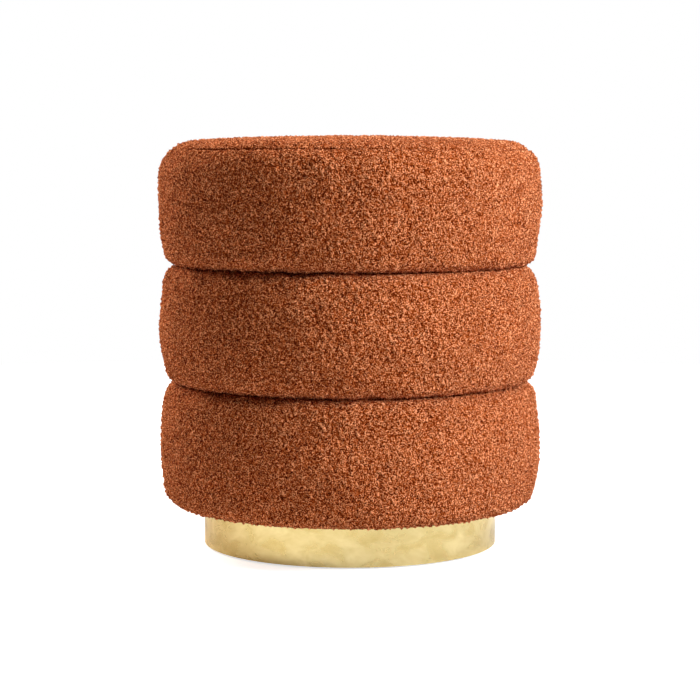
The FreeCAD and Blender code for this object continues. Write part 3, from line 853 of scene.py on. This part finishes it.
def gold_metal():
    """Satin pale gold, faintly clouded, with fine brush lines round the band."""
    finish = Finish("gold_metal")
    clouds = finish.noise(24 * MM, detail=4, where=finish.stretch(1, 1, 1.6), distortion=0.5)
    lines = finish.noise(1 * MM, detail=3, where=finish.stretch(0.03, 0.03, 1.2))
    colour = finish.ramp(clouds, (0.3, (0.68, 0.515, 0.185)), (0.7, (0.9, 0.74, 0.35)))
    rough = finish.maths("MULTIPLY_ADD", clouds, 0.16, 0.2)
    height = finish.maths("MULTIPLY_ADD", lines, 0.6, finish.maths("MULTIPLY", clouds, 0.4))
    finish.surface(Base_Color=colour, Metallic=1.0, Roughness=rough)
    finish.surface(Normal=finish.bump(height, 0.05 * MM))
    return finish.material


def woven(name, dark, light, pitch, around=None):
    """A plain weave of slightly uneven threads, across the axis or, given a radius, around it."""
    finish = Finish(name)
    x, y, z = finish.node("SeparateXYZ", {0: finish.here}).outputs
    across, along = x, y
    if around:
        across = finish.maths("MULTIPLY", finish.maths("ARCTAN2", y, x), around)
        along = z

    def threads(way):
        """A rounded ridge for every thread that lies across that way."""
        wave = finish.maths("SINE", finish.maths("MULTIPLY", way, TURN / 2 / pitch))
        return finish.maths("ABSOLUTE", wave)

    over = finish.maths("MULTIPLY", threads(across), threads(along))
    upright, level = (1, 1, 0.05), (0.05, 0.05, 1)
    slubs = [finish.noise(pitch, detail=2, where=finish.stretch(*way)) for way in (upright, level)]
    slub = finish.maths("MULTIPLY_ADD", slubs[0], 0.5, finish.maths("MULTIPLY", slubs[1], 0.5))
    shade = finish.maths("MULTIPLY_ADD", slub, 0.6, finish.maths("MULTIPLY", over, 0.4))
    colour = finish.ramp(shade, (0.25, dark), (0.75, light))
    worn = finish.between(finish.noise(40 * MM, detail=3), 0.3, 0.7, 0.9, 1.08)
    finish.surface(Base_Color=finish.scaled(colour, worn), Roughness=0.85, Specular_IOR_Level=0.2)
    finish.surface(Sheen_Weight=0.15, Sheen_Roughness=0.5, Normal=finish.bump(shade, 0.25 * MM))
    return finish.material


def black_cloth():
    """Thin non-woven cloth: matted black fibres pressed together in a pattern of small dots."""
    finish = Finish("black_cloth")
    fibres = finish.noise(1.5 * MM, detail=5, distortion=2.0)
    grid = {"Vector": finish.here, "Scale": 1 / (2.2 * MM), "Randomness": 0.15}
    dots = finish.between(finish.node("TexVoronoi", grid).outputs[0], 0.15, 0.35)
    height = finish.maths("MULTIPLY_ADD", fibres, 0.4, finish.maths("MULTIPLY", dots, 0.6))
    colour = finish.ramp(height, (0.2, (0.012, 0.012, 0.013)), (0.8, (0.045, 0.045, 0.047)))
    finish.surface(Base_Color=colour, Roughness=0.8, Sheen_Weight=0.2)
    finish.surface(Normal=finish.bump(height, 0.15 * MM))
    return finish.material


def cellular(name, dark, light, size):
    """Open foam or loose wadding: small rounded hollows between paler walls."""
    finish = Finish(name)
    cells = finish.node("TexVoronoi", {"Vector": finish.here, "Scale": 1 / size}).outputs[0]
    clumps = finish.noise(size * 8, detail=4, distortion=1.0)
    height = finish.maths("MULTIPLY_ADD", clumps, 0.5, finish.maths("MULTIPLY", cells, 0.5))
    colour = finish.ramp(height, (0.3, dark), (0.75, light))
    finish.surface(Base_Color=colour, Roughness=0.95, Specular_IOR_Level=0.1)
    finish.surface(Normal=finish.bump(height, size / 3))
    return finish.material


def wood(name, dark, light, grain, plies=0.0):
    """Wood grain, drawn out along the axes where grain is small.

    plies is how far apart the edges of plies are, and 0 for solid wood.
    """
    finish = Finish(name)
    bands = finish.noise(14 * MM, detail=3, where=finish.stretch(*grain), distortion=0.8)
    rings = finish.maths("FRACT", finish.maths("MULTIPLY", bands, 9))
    pores = finish.noise(0.8 * MM, detail=4, where=finish.stretch(*grain))
    figure = finish.maths("MULTIPLY_ADD", rings, 0.45, finish.maths("MULTIPLY", pores, 0.55))
    if plies:
        level = finish.node("SeparateXYZ", {0: finish.here}).outputs[2]
        ply = finish.maths("SINE", finish.maths("MULTIPLY", level, TURN / 4 / plies))
        ply = finish.maths("ABSOLUTE", ply)
        figure = finish.maths("MULTIPLY_ADD", ply, 0.35, finish.maths("MULTIPLY", figure, 0.65))
    colour = finish.ramp(figure, (0.15, dark), (0.85, light))
    finish.surface(Base_Color=colour, Roughness=finish.between(pores, 0.3, 0.7, 0.75, 0.55))
    finish.surface(Specular_IOR_Level=0.3, Normal=finish.bump(pores, 0.08 * MM))
    return finish.material


def pressed_board(name, dark, light):
    """Pressed wood fibre: a fine speckle of chips under broader cloudy patches."""
    finish = Finish(name)
    chips = finish.noise(1.6 * MM, detail=6, roughness=0.7, distortion=0.5)
    clouds = finish.noise(30 * MM, detail=2)
    figure = finish.maths("MULTIPLY_ADD", clouds, 0.3, finish.maths("MULTIPLY", chips, 0.7))
    colour = finish.ramp(figure, (0.3, dark), (0.7, light))
    finish.surface(Base_Color=colour, Roughness=finish.between(chips, 0.3, 0.7, 0.8, 0.6))
    finish.surface(Specular_IOR_Level=0.3, Normal=finish.bump(chips, 0.06 * MM))
    return finish.material


def black_plastic():
    """Moulded nylon with a fine spark texture and slight scuffs where it stands."""
    finish = Finish("black_plastic")
    spark = finish.noise(0.5 * MM, detail=3)
    scuffs = finish.noise(5 * MM, detail=4, distortion=1.5)
    colour = finish.ramp(scuffs, (0.35, (0.014, 0.014, 0.015)), (0.75, (0.035, 0.035, 0.036)))
    finish.surface(Base_Color=colour, Roughness=finish.between(scuffs, 0.3, 0.7, 0.42, 0.62))
    finish.surface(Normal=finish.bump(spark, 0.03 * MM))
    return finish.material


def zinc_steel():
    """Bright zinc plating with a mottled, slightly blue bloom."""
    finish = Finish("zinc_steel")
    bloom = finish.noise(2.5 * MM, detail=4, distortion=0.5)
    colour = finish.ramp(bloom, (0.3, (0.5, 0.52, 0.55)), (0.7, (0.74, 0.74, 0.72)))
    rough = finish.between(bloom, 0.3, 0.7, 0.28, 0.48)
    finish.surface(Base_Color=colour, Metallic=1.0, Roughness=rough)
    finish.surface(Normal=finish.bump(bloom, 0.02 * MM))
    return finish.material


def thread():
    """Twisted brown sewing thread."""
    finish = Finish("thread")
    twist = finish.noise(0.4 * MM, detail=2, distortion=1.0)
    colour = finish.ramp(twist, (0.3, (0.16, 0.045, 0.015)), (0.7, (0.33, 0.11, 0.045)))
    finish.surface(Base_Color=colour, Roughness=0.6, Sheen_Weight=0.2)
    finish.surface(Normal=finish.bump(twist, 0.1 * MM))
    return finish.material


def make_finishes():
    """One material for each of the record's slots."""
    return {
        "rust_boucle": rust_boucle(),
        "gold_metal": gold_metal(),
        "black_cloth": black_cloth(),
        "lining_cloth": woven("lining_cloth", *LINING_COLOURS, WEAVE_PITCH),
        "foam": cellular("foam", (0.5, 0.42, 0.25), (0.8, 0.74, 0.55), 0.9 * MM),
        "wadding": cellular("wadding", (0.62, 0.62, 0.6), (0.9, 0.9, 0.88), 2.5 * MM),
        "fibreboard": pressed_board("fibreboard", (0.2, 0.12, 0.055), (0.42, 0.28, 0.15)),
        "plywood": wood("plywood", (0.36, 0.22, 0.1), (0.66, 0.47, 0.27), (0.06, 1, 1), plies=1.5 * MM),
        "softwood": wood("softwood", (0.45, 0.27, 0.11), (0.74, 0.53, 0.29), (1, 1, 0.05)),
        "hardboard": pressed_board("hardboard", (0.085, 0.04, 0.017), (0.19, 0.1, 0.045)),
        "webbing": woven("webbing", (0.34, 0.3, 0.22), (0.62, 0.57, 0.46), 1.2 * MM, GROOVE_RADIUS),
        "black_plastic": black_plastic(),
        "zinc_steel": zinc_steel(),
    }


def dress(finishes):
    """Gives every CAD node the finish of its slot."""
    for part in frame["record"]["subparts"]:
        for slot in frame["nodes"][part["node"]].material_slots:
            slot.material = finishes[part["material_slot"]]


# ------------------------------------------------------------------ studio


def aim(thing, place, target):
    """Puts a thing at a place, with its -Z axis towards a target."""
    thing.location = place
    thing.rotation_euler = (Vector(target) - Vector(place)).to_track_quat("-Z", "Y").to_euler()


def softbox(name, azimuth, elevation, power, colour):
    """A square lamp aimed at the ottoman. Azimuth 0 is in front and 90 to the right, in degrees."""
    lamp = bpy.data.lights.new(name, "AREA")
    lamp.color = colour
    lamp.shape = "SQUARE"
    lamp.size = LAMP_SIZE
    lamp.energy = power
    holder = bpy.data.objects.new(name, lamp)
    bpy.context.scene.collection.objects.link(holder)
    a, e = math.radians(azimuth), math.radians(elevation)
    centre = Vector((0, 0, LID_TOP / 2))
    away = Vector((math.sin(a) * math.cos(e), -math.cos(a) * math.cos(e), math.sin(e)))
    aim(holder, centre + away * LAMP_DISTANCE, centre)


def room():
    """White all round. Matt surfaces are lit less by it than its brightness, so that shadows stay."""
    world = bpy.data.worlds.new("room")
    bpy.context.scene.world = world
    world.use_nodes = True
    tree = world.node_tree
    lighting = tree.nodes.new("ShaderNodeLightPath").outputs["Is Diffuse Ray"]
    strength = tree.nodes.new("ShaderNodeMapRange")
    tree.links.new(lighting, strength.inputs["Value"])
    strength.inputs["To Min"].default_value = 1.0
    strength.inputs["To Max"].default_value = ROOM_LIGHT
    tree.links.new(strength.outputs[0], tree.nodes["Background"].inputs["Strength"])
    tree.nodes["Background"].inputs["Color"].default_value = (1, 1, 1, 1)


def floor():
    """A pale round floor, brighter to the camera than to the ottoman, so that its edge doesn't show."""
    corners = 96
    turn = np.arange(corners) * TURN / corners
    points = np.column_stack([FLOOR_RADIUS * np.cos(turn), FLOOR_RADIUS * np.sin(turn), 0 * turn])
    mesh = bpy.data.meshes.new("floor")
    mesh.from_pydata(points.tolist(), [], [list(range(corners))])
    ground = bpy.data.objects.new("floor", mesh)
    bpy.context.scene.collection.objects.link(ground)
    finish = Finish("floor")
    finish.surface(Base_Color=(0.8, 0.8, 0.8, 1), Roughness=0.9, Specular_IOR_Level=0.1)
    seen = finish.node("LightPath").outputs["Is Camera Ray"]
    glow = finish.maths("MULTIPLY", seen, FLOOR_GLOW)
    finish.surface(Emission_Color=(1, 1, 1, 1), Emission_Strength=glow)
    mesh.materials.append(finish.material)


def camera():
    """The camera, in front of the ottoman and a little above its middle."""
    lens = bpy.data.cameras.new("camera")
    lens.lens = CAMERA_LENS
    lens.sensor_width = 36
    eye = bpy.data.objects.new("camera", lens)
    bpy.context.scene.collection.objects.link(eye)
    eye.location = CAMERA_PLACE
    eye.rotation_euler = (RIGHT - CAMERA_DIP, 0, 0)
    bpy.context.scene.camera = eye


def studio():
    """A white room, three soft lamps, a pale floor and the camera."""
    bpy.context.scene.view_settings.view_transform = "Standard"
    room()
    softbox("key_light", azimuth=65, elevation=30, power=82, colour=COOL)
    softbox("top_light", azimuth=20, elevation=80, power=34, colour=WARM)
    softbox("rim_light", azimuth=-130, elevation=25, power=82, colour=WARM)
    floor()
    camera()


finishes = make_finishes()
dress(finishes)
for cover in body_covers() + lid_covers():
    cover.data.materials.append(finishes["rust_boucle"])
wall, stitches, floor_cloth, lid_cloth, dust_cloth = linings()
wall.data.materials.append(woven("wall_weave", *LINING_COLOURS, WEAVE_PITCH, WALL_INNER))
stitches.data.materials.append(thread())
floor_cloth.data.materials.append(finishes["lining_cloth"])
lid_cloth.data.materials.append(finishes["lining_cloth"])
dust_cloth.data.materials.append(finishes["black_cloth"])
studio()
